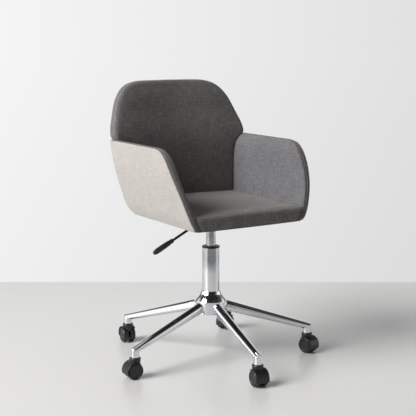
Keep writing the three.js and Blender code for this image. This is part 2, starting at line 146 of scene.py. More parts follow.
def noise(material, vector, scale, detail=3.0, roughness=0.55):
    return add_node(material, "ShaderNodeTexNoise", [("Vector", vector)],
                    Scale=scale, Detail=detail, Roughness=roughness).outputs["Fac"]


# ---------------------------------------------------------------- materials

WEAVE_MAP = "weave"
THREAD = 0.0011                 # width of one woven thread, in metres
SLUB = 0.0024                   # width of the thicker, uneven threads
SLUB_LENGTH = 0.032


def linen(name, colour, contrast, sheen, warmth=(1.0, 1.0, 1.0)):
    """Woven linen: single threads, uneven thicker threads both ways, and soft cloudy fading."""
    material = new_material(name, colour, 0.93, Sheen_Weight=sheen, Sheen_Roughness=0.45)
    shader = material.node_tree.nodes["Principled BSDF"]
    shader.inputs["Specular IOR Level"].default_value = 0.22
    across = noise(material, place_on(material, (1 / SLUB, 1 / SLUB_LENGTH, 1), "UV"), 1.0)
    along = noise(material, place_on(material, (1 / SLUB_LENGTH, 1 / SLUB, 1), "UV"), 1.0)
    fine_across = noise(material, place_on(material, (1 / THREAD, 0.16 / THREAD, 1), "UV"), 1.0, 1.0)
    fine_along = noise(material, place_on(material, (0.16 / THREAD, 1 / THREAD, 1), "UV"), 1.0, 1.0)
    clouds = noise(material, place_on(material, (9, 9, 9), "UV"), 1.0, 2.0)
    slubs = math_node(material, "ADD", across, along)
    threads = math_node(material, "ADD", fine_across, fine_along)
    mixed = math_node(material, "MULTIPLY_ADD", threads, 0.45, slubs)
    mixed = math_node(material, "MULTIPLY_ADD", clouds, 0.15, mixed)
    centre = 1.0 + 0.45 + 0.075
    level = math_node(material, "MULTIPLY_ADD", mixed, 3.2, 0.5 - 3.2 * centre)
    dark = shade(colour, 1 - contrast)
    light = tuple(c * (1 + contrast) * w for c, w in zip(colour, warmth))
    connect(material, ramp(material, level, [(0.05, dark), (0.5, colour), (0.95, light)]), "Base Color")
    waves = [add_node(material, "ShaderNodeTexWave", [("Vector", place_on(material, source="UV"))],
                      Scale=math.pi / 10 / THREAD, Distortion=0.6, Detail=1.0,
                      bands_direction=direction).outputs["Fac"] for direction in "XY"]
    weave = math_node(material, "MULTIPLY", *waves)
    relief = math_node(material, "MULTIPLY_ADD", slubs, 0.8, weave)
    bump(material, relief, 0.55, 0.0006)
    return material


def chrome(name, tint, roughness):
    """Bright plating with the faint waviness of polished tube and slightly uneven gloss."""
    material = new_material(name, tint, roughness, 1.0)
    polish = noise(material, place_on(material), 140.0, 4.0)
    gloss = ramp(material, polish, [(0.3, grey(roughness * 0.75)), (0.75, grey(roughness * 1.45))])
    connect(material, gloss, "Roughness")
    wavy = noise(material, place_on(material), 22.0, 1.0)
    bump(material, wavy, 0.05, 0.002)
    return material


def moulded(name, colour, roughness):
    """Moulded plastic with a fine spark-eroded grain and scuffs that are a little lighter."""
    material = new_material(name, colour, roughness, Specular_IOR_Level=0.5)
    scuffs = noise(material, place_on(material), 60.0, 6.0, 0.7)
    connect(material, ramp(material, scuffs, [(0.35, colour), (0.8, shade(colour, 1.5))]), "Base Color")
    gloss = ramp(material, scuffs, [(0.3, grey(roughness * 0.85)), (0.8, grey(min(1, roughness * 1.25)))])
    connect(material, gloss, "Roughness")
    bump(material, noise(material, place_on(material), 900.0, 2.0), 0.18, 0.0003)
    return material


def powder_coat(name, colour):
    """Black powder coat on steel, with its orange-peel texture."""
    material = new_material(name, colour, 0.42, 0.0, Specular_IOR_Level=0.5)
    peel = noise(material, place_on(material), 420.0, 2.0)
    tones = [(0.3, shade(colour, 0.8)), (0.7, shade(colour, 1.35))]
    connect(material, ramp(material, peel, tones), "Base Color")
    connect(material, ramp(material, peel, [(0.3, grey(0.36)), (0.7, grey(0.52))]), "Roughness")
    bump(material, peel, 0.3, 0.0003)
    return material


def felt(name, colour):
    """Thin non-woven dust cloth, with pressed dimples."""
    material = new_material(name, colour, 0.9, Sheen_Weight=0.2)
    fibres = noise(material, place_on(material), 520.0, 5.0, 0.7)
    dimples = add_node(material, "ShaderNodeTexVoronoi", [("Vector", place_on(material))],
                       Scale=420.0).outputs["Distance"]
    connect(material, ramp(material, fibres, [(0.3, shade(colour, 0.6)), (0.75, shade(colour, 1.7))]),
            "Base Color")
    bump(material, math_node(material, "MULTIPLY_ADD", dimples, 0.7, fibres), 0.4, 0.0004)
    return material


# GREY_LINEN and LIT_LINEN are one charcoal linen. The warm cast of GREY_LINEN and its light threads paints
# the warm light in shade; the cool cast of LIT_LINEN and its threads paints the window's light on the faces
# it lights.
GREY_LINEN = (0.172, 0.164, 0.160)
LIT_LINEN = (0.172, 0.168, 0.175)
BEIGE_LINEN = (0.542, 0.515, 0.488)
MATERIALS = {
    "chrome_base": chrome("chrome plating", (0.72, 0.735, 0.76), 0.075),
    "gas_cylinder_chrome": chrome("cylinder chrome", (0.64, 0.63, 0.625), 0.15),
    "caster_plastic": moulded("caster nylon", (0.008, 0.0075, 0.009), 0.36),
    "bush_plastic": moulded("bush plastic", (0.014, 0.014, 0.016), 0.4),
    "grip_plastic": moulded("grip plastic", (0.013, 0.013, 0.015), 0.38),
    "black_steel": powder_coat("black powder coat", (0.014, 0.014, 0.015)),
    "seat_board_cover": linen("board linen", (0.46, 0.38, 0.31), 0.16, 0.1),
    "grey_fabric": linen("charcoal linen", GREY_LINEN, 0.25, 0.25, (1.04, 1.0, 0.97)),
    # Painted shade: this copy of the charcoal linen is darkened to 0.85 for faces that the window leaves in
    # shade.
    "shaded_grey_fabric": linen("charcoal linen shaded copy", shade(GREY_LINEN, 0.85), 0.25, 0.2, (1.04, 1.0, 0.97)),
    "arm_fabric": linen("charcoal linen lit copy", LIT_LINEN, 0.23, 0.25, (1.0, 1.0, 1.03)),
    "beige_fabric": linen("beige linen", BEIGE_LINEN, 0.11, 0.15, (1.03, 1.0, 0.97)),
    "dust_cloth": felt("dust cloth", (0.012, 0.012, 0.013)),
}


# ---------------------------------------------------------------- mesh helpers

def to_frame(points):
    """Millimetres from the swivel axis to metres in the frame."""
    return np.asarray(points, float) * MM + np.array(AXIS)


def make_object(name, points, faces, material, uvs=None):
    """A mesh object from points in the frame, faces turned outward."""
    mesh = bpy.data.meshes.new(name)
    mesh.from_pydata([tuple(p) for p in points], [], [tuple(f) for f in faces])
    mesh.validate()
    if uvs is not None:
        layer = mesh.uv_layers.new(name=WEAVE_MAP)
        corners = np.zeros(len(mesh.loops), np.int32)
        mesh.loops.foreach_get("vertex_index", corners)
        layer.data.foreach_set("uv", np.asarray(uvs, np.float32)[corners].ravel())
    made = bmesh.new()
    made.from_mesh(mesh)
    bmesh.ops.recalc_face_normals(made, faces=made.faces)
    made.to_mesh(mesh)
    made.free()
    mesh.polygons.foreach_set("use_smooth", [True] * len(mesh.polygons))
    mesh.materials.append(MATERIALS[material])
    obj = bpy.data.objects.new(name, mesh)
    scene.collection.objects.link(obj)
    return obj


def finish_piece(obj, body, replaces=()):
    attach(obj, body)
    if replaces:
        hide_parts(*replaces)
    return obj


def filleted(profile, radii, steps=4, closed=False):
    """The profile with each inner corner turned into an arc, from one radius for each point."""
    points = [np.array(p, float) for p in profile]
    count = len(points)
    out = []
    for i, point in enumerate(points):
        if not closed and i in (0, count - 1) or radii[i] <= 0:
            out.append(point)
            continue
        before, after = points[i - 1] - point, points[(i + 1) % count] - point
        reach = min(np.linalg.norm(before), np.linalg.norm(after)) * 0.49
        before, after = before / np.linalg.norm(before), after / np.linalg.norm(after)
        half = math.acos(max(-1.0, min(1.0, float(before @ after)))) / 2
        if half > 1.55:
            out.append(point)
            continue
        setback = min(radii[i] / math.tan(half), reach)
        start, end = point + before * setback, point + after * setback
        for step in range(steps + 1):
            t = step / steps
            out.append((1 - t) ** 2 * start + 2 * t * (1 - t) * point + t ** 2 * end)
    return out


def ring_faces(count, size):
    """Faces between rings of points in order."""
    faces = []
    for k in range(count - 1):
        for i in range(size):
            j = (i + 1) % size
            faces.append((k * size + i, k * size + j, (k + 1) * size + j, (k + 1) * size + i))
    return faces


def lathe(name, profile, material, segments, centre=(0, 0), closed=False):
    """A turned piece: profile is [radius, z] in millimetres, from axis to axis or closed on itself."""
    ring_starts, points = [], []
    turn = np.linspace(0, 2 * math.pi, segments, endpoint=False)
    for r, z in profile:
        ring_starts.append(len(points))
        if r < 1e-6:
            points.append((centre[0], centre[1], z))
        else:
            points += [(centre[0] + r * math.cos(a), centre[1] + r * math.sin(a), z) for a in turn]
    sizes = [1 if r < 1e-6 else segments for r, _ in profile]
    faces = []
    pairs = list(zip(range(len(profile)), range(1, len(profile))))
    if closed:
        pairs.append((len(profile) - 1, 0))
    for a, b in pairs:
        for i in range(segments):
            j = (i + 1) % segments
            low = [ring_starts[a] + k % sizes[a] for k in (i, j)]
            high = [ring_starts[b] + k % sizes[b] for k in (j, i)]
            face = list(dict.fromkeys(low + high))
            if len(face) > 2:
                faces.append(face)
    obj = make_object(name, points, faces, material)
    obj.data.transform(Matrix.Diagonal((MM, MM, MM, 1)))
    return obj


def loft(name, rings, material):
    """A closed skin over rings of points, with a fan at each end."""
    rings = [np.asarray(ring, float) for ring in rings]
    size = len(rings[0])
    points = np.concatenate([*rings, [rings[0].mean(0)], [rings[-1].mean(0)]])
    faces = ring_faces(len(rings), size)
    first, last = len(points) - 2, len(points) - 1
    offset = (len(rings) - 1) * size
    for i in range(size):
        j = (i + 1) % size
        faces.append((first, j, i))
        faces.append((last, offset + i, offset + j))
    return make_object(name, points, faces, material)


def tube(name, path, radius, material, sides, uv=False):
    """A round cord along a path of points in metres."""
    path = np.asarray(path, float)
    count = len(path)
    ahead = np.roll(path, -1, 0) - np.roll(path, 1, 0)
    ahead[0], ahead[-1] = path[1] - path[0], path[-1] - path[-2]
    ahead /= np.linalg.norm(ahead, axis=1)[:, None]
    side = np.cross(ahead[0], (0.31, 0.27, 0.91))
    rings, length, lengths = [], 0.0, []
    for i in range(count):
        side = side - ahead[i] * (side @ ahead[i])
        side /= np.linalg.norm(side)
        up = np.cross(ahead[i], side)
        turn = np.linspace(0, 2 * math.pi, sides, endpoint=False)
        rings.append(path[i] + radius * (np.outer(np.cos(turn), side) + np.outer(np.sin(turn), up)))
        length += np.linalg.norm(path[i] - path[i - 1]) if i else 0.0
        lengths.append(length)
    points = np.concatenate(rings)
    faces = ring_faces(count, sides)
    faces.append(tuple(range(sides))[::-1])
    faces.append(tuple((count - 1) * sides + i for i in range(sides)))
    uvs = [(length, 2 * math.pi * radius * i / sides) for length in lengths for i in range(sides)]
    return make_object(name, points, faces, material, uvs if uv else None)


def add_bevel(obj, width, angle, segments=3):
    bevel = obj.modifiers.new("edges", "BEVEL")
    bevel.width = width * MM
    bevel.segments = segments
    bevel.limit_method = "ANGLE"
    bevel.angle_limit = math.radians(angle)
    bevel.harden_normals = True


def subdivide(obj):
    smooth = obj.modifiers.new("smooth", "SUBSURF")
    smooth.levels = smooth.render_levels = 1


def bake_modifiers(obj):
    """Replaces the mesh by what its modifiers make of it."""
    graph = bpy.context.evaluated_depsgraph_get()
    mesh = bpy.data.meshes.new_from_object(obj.evaluated_get(graph), depsgraph=graph,
                                           preserve_all_data_layers=True)
    obj.modifiers.clear()
    obj.data = mesh


def boolean(obj, tools, operation):
    """Joins or cuts obj with closed tools, and removes the tools."""
    for tool in tools:
        step = obj.modifiers.new("boolean", "BOOLEAN")
        step.operation = operation
        step.solver = "MANIFOLD"
        step.object = tool
    bpy.context.view_layer.update()
    bake_modifiers(obj)
    for tool in tools:
        bpy.data.objects.remove(tool)


def sharp_edges(obj, angle=32):
    """Smooth shading that breaks at edges steeper than angle."""
    mesh = obj.data
    mesh.polygons.foreach_set("use_smooth", [True] * len(mesh.polygons))
    made = bmesh.new()
    made.from_mesh(mesh)
    for edge in made.edges:
        edge.smooth = len(edge.link_faces) == 2 and edge.calc_face_angle(0.0) < math.radians(angle)
    made.to_mesh(mesh)
    made.free()
    return obj


# ---------------------------------------------------------------- curves of the shell

def catmull_rom(points, steps=24):
    """A smooth curve through the points."""
    p = np.asarray(points, float)
    p = np.vstack([2 * p[0] - p[1], p, 2 * p[-1] - p[-2]])
    out = []
    for a, b, c, d in zip(p, p[1:], p[2:], p[3:]):
        for t in np.linspace(0, 1, steps, endpoint=False):
            out.append(0.5 * (2 * b + (c - a) * t + (2 * a - 5 * b + 4 * c - d) * t ** 2
                              + (3 * b - a - 3 * c + d) * t ** 3))
    return np.array(out + [p[-2]])


def height_curve(points):
    """A function of height through (value, z) points."""
    curve = catmull_rom(points)
    return lambda z: np.interp(z, curve[:, 1], curve[:, 0])


def resample(curve, count):
    """count points evenly spaced along a curve."""
    curve = np.asarray(curve, float)
    along = np.concatenate([[0], np.cumsum(np.linalg.norm(np.diff(curve, axis=0), axis=1))])
    at = np.linspace(0, 1, count) * along[-1]
    return np.stack([np.interp(at, along, curve[:, k]) for k in range(curve.shape[1])], 1)


SHELL_BOTTOM, SEAT_TOP, ARM_TOP, BACK_TOP = 411.0, 456.0, 620.0, 783.0
PAD_BOTTOM = 418.7
SKIN = 4.0                                      # outer panel
LAYER_GAP = 0.4
ARM_THICKNESS = 22.0
side_wall = height_curve([(173, 409), (189, 440), (202, 480), (213, 520), (221, 560), (224.5, 600),
                          (225.5, 622)])
rear_face = height_curve([(185.5, 408), (188, 500), (197, 610), (226, 700), (252, 784)])
backrest = height_curve([(155, 416), (152, 500), (159, 610), (190, 700), (217, 784)])
SHOULDER = [(217.8, 631), (217.0, 642), (213.0, 660), (205.7, 680), (190.5, 720), (179.3, 740),
            (162.4, 760), (140, 774), (110, 781.5), (80, 783)]
TOP_CORNER = 7                                  # the point of SHOULDER where the side turns into the top
FLARE = [(191, 608.5), (206, 616), (215, 623)]  # where the back widens above the arms
ARM_FRONT = [(-202, 424), (-196, 460), (-185, 500), (-167, 540), (-143, 580), (-126, 600), (-104, 615.5),
             (-78, 620)]
ARM_CROWN = 2.2                                 # how far the arm's padding stands above its outer panel
UNDER_ROUNDING = 32.0                           # where the rear panel rolls under the seat
REAR_INSET = 2.0                                # the rear panel's outline inside the back's


def hollow(x):
    """How far the back's front face comes forward away from its middle, as a shallow dish does."""
    return 6.3 * (np.sqrt(1 + (np.asarray(x, float) / 60) ** 2) - 1) - 6.0


def rear_bow(x):
    """How far the rear face comes forward towards its sides."""
    return 7.0 * (np.asarray(x, float) / 213) ** 2


def rolled_rear(z):
    """The rear face in side view, rolled under at the bottom."""
    height = np.clip((np.asarray(z, float) - SHELL_BOTTOM) / UNDER_ROUNDING, 0, 1)
    return rear_face(z) - UNDER_ROUNDING * (1 - np.sqrt(1 - (1 - height) ** 2))


# ---------------------------------------------------------------- upholstered forms

def coons(bottom, right, top, left):
    """A grid over four edge curves. bottom and top run left to right, left and right run upward."""
    across, up = len(bottom), len(left)
    u = np.linspace(0, 1, across)[:, None, None]
    v = np.linspace(0, 1, up)[None, :, None]
    ruled = (1 - v) * bottom[:, None] + v * top[:, None] + (1 - u) * left[None] + u * right[None]
    corners = ((1 - u) * (1 - v) * bottom[0] + u * (1 - v) * bottom[-1]
               + (1 - u) * v * top[0] + u * v * top[-1])
    return ruled - corners


def ring_of(grid):
    """Indices of a grid's boundary, in order round it."""
    across, up = grid
    index = np.arange(across * up).reshape(across, up)
    return np.concatenate([index[:-1, 0], index[-1, :-1], index[:0:-1, -1], index[0, :0:-1]])


def ring_edges(ring, across, up):
    """The four edge curves of a ring of points, as coons() takes them."""
    closed = np.vstack([ring, ring[:1]])
    a, b, c = across - 1, across + up - 2, 2 * across + up - 3
    return closed[:a + 1], closed[a:b + 1], closed[b:c + 1][::-1], closed[c:][::-1]


def outline_of(edges):
    """The ring of points that four edge curves make."""
    bottom, right, top, left = edges
    return np.vstack([bottom[:-1], right[:-1], top[:0:-1], left[:0:-1]])


def outward(ring):
    """Unit normals that point out of a closed ring, longer at its corners as a mitre is."""
    ahead = np.roll(ring, -1, 0) - ring
    ahead /= np.linalg.norm(ahead, axis=1)[:, None]
    behind = np.roll(ahead, 1, 0)
    normals = np.stack([ahead[:, 1] + behind[:, 1], -ahead[:, 0] - behind[:, 0]], 1)
    size = np.linalg.norm(normals, axis=1)[:, None]
    normals /= size
    half = np.clip(size / 2, 0.62, 1)
    area = np.sum(ring[:, 0] * np.roll(ring[:, 1], -1) - np.roll(ring[:, 0], -1) * ring[:, 1])
    return normals / half * np.sign(area)


FAR_WEAVE = 500.0                               # shifts the weave on a pad's far face, in millimetres


def upholstered(name, edges, thickness, place, near_radius, far_radius, material, wall_steps=4):
    """A closed pad over an outline.

    edges(depth share) gives the outline's four curves, thickness is in millimetres, and
    place(points, depth share) puts outline points in space. near_radius may be one value per ring point.
    """
    bottom, _right, _top, left = edges(0.0)
    across, up = len(bottom), len(left)
    ring_count = 2 * (across + up) - 4
    near_radius = np.full(ring_count, near_radius, float) if np.isscalar(near_radius) else near_radius

    levels = 9
    outlines = np.array([outline_of(edges(share)) for share in np.linspace(0, 1, levels)])

    def outline_at(share):
        """The outline with each of its points at its own depth share."""
        level = np.minimum((share * (levels - 1)).astype(int), levels - 2)
        rest = (share * (levels - 1) - level)[:, None]
        which = np.arange(ring_count)
        return outlines[level, which] * (1 - rest) + outlines[level + 1, which] * rest

    bend = np.linspace(0, math.pi / 2, 6)
    steps = [(near_radius * (1 - math.sin(a)), near_radius * (1 - math.cos(a))) for a in bend]
    for share in np.linspace(0, 1, wall_steps + 1)[1:]:
        depth = near_radius + (thickness - far_radius - near_radius) * share
        steps.append((np.zeros(ring_count), depth))
    for a in bend[1:]:
        steps.append((np.full(ring_count, far_radius * (1 - math.cos(a))),
                      np.full(ring_count, thickness - far_radius * (1 - math.sin(a)))))
    points, uvs, rings, faces = [], [], [], []
    start, wrapped = 0, np.zeros(ring_count)
    previous = None
    for k, (inset, depth) in enumerate(steps):
        share = depth / thickness
        flat = outline_at(share)
        normals = outward(flat)
        flat = flat - normals * np.asarray(inset)[:, None]
        if previous is not None:
            wrapped = wrapped + np.hypot(np.asarray(inset) - previous[0], depth - previous[1])
        previous = (np.asarray(inset), depth)
        if k in (0, len(steps) - 1):
            cells = np.arange(across * up).reshape(across, up) + start
            quads = np.stack([cells[:-1, :-1], cells[1:, :-1], cells[1:, 1:], cells[:-1, 1:]], -1)
            faces.append(quads.reshape(-1, 4))
            grid = coons(*ring_edges(flat, across, up)).reshape(-1, 2)
            where = place(grid, np.full(len(grid), float(k > 0)))
            uv = grid + (0 if k == 0 else FAR_WEAVE)
            rings.append(start + ring_of((across, up)))
        else:
            where = place(flat, share)
            uv = flat + normals * (wrapped + np.asarray(inset))[:, None]
            rings.append(np.arange(ring_count) + start)
        points.append(where)
        uvs.append(uv)
        start += len(where)
    for low, high in zip(rings, rings[1:]):
        faces.append(np.stack([low, np.roll(low, -1), np.roll(high, -1), high], 1))
    obj = make_object(name, to_frame(np.vstack(points)), np.vstack(faces), material, np.vstack(uvs) * MM)
    group = obj.vertex_groups.new(name="held")
    free = np.concatenate([np.arange(across * up), *rings[1:4]])
    held = sorted(set(range(start)) - set(free.tolist()))
    group.add(held, 1.0, "REPLACE")
    obj["rings"] = [int(i) for ring in rings for i in ring]
    obj["ring_size"] = ring_count
    return obj


def cover_wall(obj, number, material):
    """Gives a pad's wall, from one of its rings on, a second material: another tone of the same linen, which
    paints the light or shade that falls on that wall.
    """
    wall = set(list(obj["rings"])[number * obj["ring_size"]:])
    obj.data.materials.append(MATERIALS[material])
    for face in obj.data.polygons:
        if wall.issuperset(face.vertices):
            face.material_index = 1


def ring_path(obj, number):
    """Where one of a pad's rings lies now."""
    size = obj["ring_size"]
    ring = list(obj["rings"])[number * size:(number + 1) * size]
    return np.array([obj.data.vertices[i].co for i in ring])


def hand(side):
    return "left" if side > 0 else "right"


def mirrored(points):
    return np.asarray(points) * (-1, 1)


SEAT_FRONT = -207.0
SEAT_BOW = 3.0                                  # how far the front edge's ends lie behind its middle
SEAT_GRID = (46, 52)                            # points across the seat and along it
COVER_BOTTOM = 412.2                            # the seat's cover wraps the board down to here
TAPER_FRONT, TAPER_REAR = -196.0, 150.0         # the arm pad thickens between these
taper_depth = height_curve([(-3, 405), (-2, 448), (12.6, 497), (22, 542), (24, 572), (20, 595),
                            (10.6, 610.5), (-1, 621)])


def arm_inner(y, z):
    """Half width between the arms."""
    share = np.clip((np.asarray(y, float) - TAPER_FRONT) / (TAPER_REAR - TAPER_FRONT), 0, 1.1)
    return side_wall(z) - ARM_THICKNESS - taper_depth(z) * share


def seat_edges(share):
    """Plan outline of the seat cushion at a depth share below its top, front edge first."""
    z = SEAT_TOP + (COVER_BOTTOM - SEAT_TOP) * share
    rear = float(backrest(z)) - LAYER_GAP
    rear_half = arm_inner(rear, z) - LAYER_GAP
    across, up = SEAT_GRID
    y = np.linspace(SEAT_FRONT + SEAT_BOW, float(rear - hollow(rear_half)), up)
    right = np.stack([arm_inner(y, z) - LAYER_GAP, y], 1)
    x = np.linspace(-1, 1, across)
    bottom = np.stack([x * right[0, 0], SEAT_FRONT + SEAT_BOW * x ** 2], 1)
    top_x = x * right[-1, 0]
    top = np.stack([top_x, rear - hollow(top_x)], 1)
    right[-1] = top[-1]
    return bottom, right, top, mirrored(right)


def seat_cushion():
    thickness = SEAT_TOP - COVER_BOTTOM

    def place(flat, share):
        x, y = flat[:, 0], flat[:, 1]
        crown = 2.0 * (1 - share) * (1 - (x / 170) ** 2)
        return np.stack([x, y, SEAT_TOP - 2.0 - thickness * share + crown], 1)

    across, up = SEAT_GRID
    radius = np.full(2 * (across + up) - 4, 5.0)
    radius[:across] = 16.0
    cushion = upholstered("seat_cushion_cover", seat_edges, thickness, place, radius, 2.0, "grey_fabric")
    return finish_piece(cushion, "seat", ["seat_cushion"])


def flat_slab(name, outline, low, high, material, rounding=0.5):
    """A thin closed slab over a plan outline."""
    rings = [(rounding, low), (0, low + rounding), (0, high - rounding), (rounding, high)]
    outline = np.asarray(outline, float)
    normals = outward(outline)
    points = [np.column_stack([outline - normals * inset, np.full(len(outline), z)]) for inset, z in rings]
    slab = loft(name, [to_frame(p) for p in points], material)
    plan_uv(slab)
    return slab


def plan_uv(obj):
    """Weave coordinates from above, in metres."""
    mesh = obj.data
    layer = mesh.uv_layers.new(name=WEAVE_MAP)
    for loop in mesh.loops:
        point = mesh.vertices[loop.vertex_index].co
        layer.data[loop.index].uv = (point.x, point.y + point.z)


def seat_pan():
    """The seat board in its tan cover, and the black cloth stapled under it."""
    front, rear, half, corner = -202.5, 152.0, 168.0, 9.0
    turn = np.linspace(0, math.pi / 2, 7)
    outline = []
    for sx, sy, start in ((1, -1, -90), (1, 1, 0), (-1, 1, 90), (-1, -1, 180)):
        middle = (sx * (half - corner), (front + corner) if sy < 0 else (rear - corner))
        angle = turn + math.radians(start)
        arc = np.stack([np.cos(angle), np.sin(angle)], 1)
        outline.append(np.array(middle) + corner * arc)
    outline = np.vstack(outline)
    pan = flat_slab("seat_pan", outline, 410.4, 412.1, "seat_board_cover")
    finish_piece(pan, "seat", ["seat_board"])
    cloth = flat_slab("dust_cloth", outline * 0.985, 410.02, 410.36, "dust_cloth", 0.1)
    finish_piece(cloth, "seat")


def shouldered_edges(seam, above, split_height, top_height):
    """Front view of the back: a straight seam on each side, then round shoulders up to a level top.

    The side's edge ends at split_height, and the top's edge goes on from there.
    """
    across, up = 48, 62
    side = np.vstack([seam, catmull_rom([seam[-1], *above], 10)])
    split = int(np.argmin(np.abs(side[:, 1] - split_height)))
    right = resample(side[:split + 1], up)
    half_top = resample(np.vstack([side[split:], [(0, top_height)]]), across // 2 + 1)
    top = np.vstack([mirrored(half_top)[:-1], half_top[::-1]])
    half, foot = seam[0]
    bottom = np.stack([np.linspace(-half, half, len(top)), np.full(len(top), foot)], 1)
    return bottom, right, top, mirrored(right)


def back_edges(_share):
    """The back's outline, narrow between the arms and wide above them."""
    seam = [(arm_inner(TAPER_REAR, z) - LAYER_GAP, z) for z in np.linspace(PAD_BOTTOM, 596, 24)]
    return shouldered_edges(seam, [*FLARE, *SHOULDER], SHOULDER[TOP_CORNER][1], BACK_TOP + 0.6)


def back_cushion():
    thickness = 32.0

    def place(flat, share):
        x, z = flat[:, 0], flat[:, 1]
        near = backrest(z) - hollow(x)
        far = rolled_rear(z) - rear_bow(x) - SKIN - LAYER_GAP
        return np.stack([x, near + (far - near) * share, z], 1)

    radius = np.interp(outline_of(back_edges(0.0))[:, 1], [600, 628, 740, 780], [4.0, 10.5, 10.5, 12.0])
    # The back's front takes the darkened copy of the linen (painted shade), and its side wall the cool lit
    # copy (painted light).
    back = upholstered("back_cover", back_edges, thickness, place, radius, 4.0, "shaded_grey_fabric", 5)
    cover_wall(back, 4, "arm_fabric")
    return finish_piece(back, "seat", ["back_pad", "back_board"])


def arm_front_curve():
    start = np.array([(-194, SHELL_BOTTOM), (-199.5, 412.5), (-202, 418)])
    return np.vstack([start, catmull_rom(ARM_FRONT, 12)])


ARM_GRID = (54, 44)                             # points along an arm and up its front
PIPING_RING = 8                                 # the ring of points that the cord follows


def arm_edges(rear, bottom_level, crown, up=ARM_GRID[1], across=ARM_GRID[0]):
    """Side view of an arm: rear(z) gives its rear edge. The first edge is the underside."""
    front = arm_front_curve()
    front = front[front[:, 1] >= bottom_level] + crown * np.array((-0.7, 0.7))
    front = np.vstack([[(front[0, 0], bottom_level)], front])
    split = int(np.argmin(np.abs(front[:, 1] - 609)))
    left = resample(front[:split + 1], up)
    top_level = ARM_TOP + 0.7 * crown
    top = resample(np.vstack([front[split:], [(rear(ARM_TOP), top_level)]]), across)
    lift = 1 - np.cos(np.linspace(0, math.pi / 2, 60))
    heights = bottom_level + (top_level - bottom_level) * lift
    right = resample(np.stack([[rear(z) for z in heights], heights], 1), up)
    bottom = resample([left[0], right[0]], across)
    return bottom, right, top, left


def corner(z):
    """Vertical rounding of the shell's rear corners, wider towards the underside."""
    return 20.0 + 20.0 * np.clip((ARM_TOP - z) / (ARM_TOP - SHELL_BOTTOM), 0, 1)


def side_end(z):
    """Where the flat side ends and the rear corner starts."""
    return rolled_rear(z) - corner(z) - rear_bow(side_wall(z) - corner(z))


# An arm pad's rear end stays this far off the rear face, and passes the end of the flat side by no more.
ARM_INSET = 12.0


def arm_cushion(side):
    word = hand(side)
    skin = SKIN + LAYER_GAP
    thickness = ARM_THICKNESS - skin

    def rear(z):
        return float(min(rolled_rear(z) - skin - ARM_INSET, side_end(z) + ARM_INSET))

    def place(flat, share):
        y, z = flat[:, 0], flat[:, 1]
        past_end = np.maximum(y - side_end(z), 0)
        inside_corner = np.sqrt(np.maximum((corner(z) - skin) ** 2 - past_end ** 2, 0))
        near, far = arm_inner(y, z), side_wall(z) - corner(z) + inside_corner
        return np.stack([side * (near + (far - near) * share), y, z], 1)

    # The arm pads take the cool lit copy of the linen (painted light), and their front bands the darkened
    # copy (painted shade).
    pad = upholstered(f"arm_cover_{word}", lambda share: arm_edges(rear, COVER_BOTTOM, ARM_CROWN),
                      thickness, place, 6.0, 4.0, "arm_fabric")
    cover_wall(pad, 4, "shaded_grey_fabric")
    return finish_piece(pad, "seat", [f"arm_pad_{word}", f"arm_board_{word}"])


def outer_arm_panel(side):
    """The beige panel of one arm, which turns the rear corner and ends in a seam on the rear face."""
    word = hand(side)

    def rear(z):
        return side_end(z) + corner(z) * math.pi / 2

    def place(flat, share):
        out = []
        for (s, z), f in zip(flat, share):
            x, end, radius = float(side_wall(z)), side_end(z), corner(z)
            angle = max(0.0, min((s - end) / radius, math.pi / 2))
            reach = radius - SKIN * f
            past = max(0.0, s - end - radius * math.pi / 2)
            out.append((x - radius + reach * math.cos(angle) - past,
                        min(s, end) + reach * math.sin(angle), z))
        return np.array(out) * (side, 1, 1)

    def edges(_share):
        return arm_edges(rear, SHELL_BOTTOM, 0.0, 48, 64)

    panel = upholstered(f"outer_cover_{word}", edges, SKIN, place, 1.9, 1.2, "beige_fabric", 2)
    return finish_piece(panel, "seat", [f"outer_panel_{word}"])


def rear_edges(_share):
    """The rear panel's outline, from the underside to the shoulders."""
    seam = [(float(side_wall(z)) - corner(z) - 0.6, z) for z in np.linspace(SHELL_BOTTOM, 608, 24)]
    shoulder = [(x - REAR_INSET, z - REAR_INSET * 0.6) for x, z in SHOULDER]
    return shouldered_edges(seam, [(209, 622), *shoulder], shoulder[TOP_CORNER][1], BACK_TOP - 1.5)


def outer_rear_panel():
    def place(flat, share):
        x, z = flat[:, 0], flat[:, 1]
        return np.stack([x, rolled_rear(z) - rear_bow(x) - SKIN * share, z], 1)

    panel = upholstered("outer_cover_back", rear_edges, SKIN, place, 1.9, 1.2, "beige_fabric", 2)
    return finish_piece(panel, "seat", ["outer_panel_back"])


def piping(pad, side):
    """A thin cord along the middle of an arm's front and top band, after the pad has swollen."""
    word = hand(side)
    ring = ring_path(pad, PIPING_RING)
    path = np.vstack([ring[ARM_GRID[0] + ARM_GRID[1] + 3:], ring[:1]])
    # The cord takes the darkened copy of the linen: painted shade.
    cord = tube(f"arm_piping_{word}", path[:-3], 1.0 * MM, "shaded_grey_fabric", 8, uv=True)
    return finish_piece(cord, "seat")


# ---------------------------------------------------------------- cloth

SIMULATED_FRAMES = 20
PRESSURE = 4.0
TAUT_ROUNDS = 24


def taut(mesh, moves, held):
    """Evens out how far neighbouring points have moved, so that the cover is stretched without buckles."""
    ends = np.zeros(2 * len(mesh.edges), np.int32)
    mesh.edges.foreach_get("vertices", ends)
    first, second = ends[::2], ends[1::2]
    neighbours = np.maximum(np.bincount(ends, minlength=len(moves)), 1)[:, None]
    for _ in range(TAUT_ROUNDS):
        total = np.zeros_like(moves)
        np.add.at(total, first, moves[second])
        np.add.at(total, second, moves[first])
        moves = (moves + total / neighbours) / 2
        moves[held] = 0
    return moves


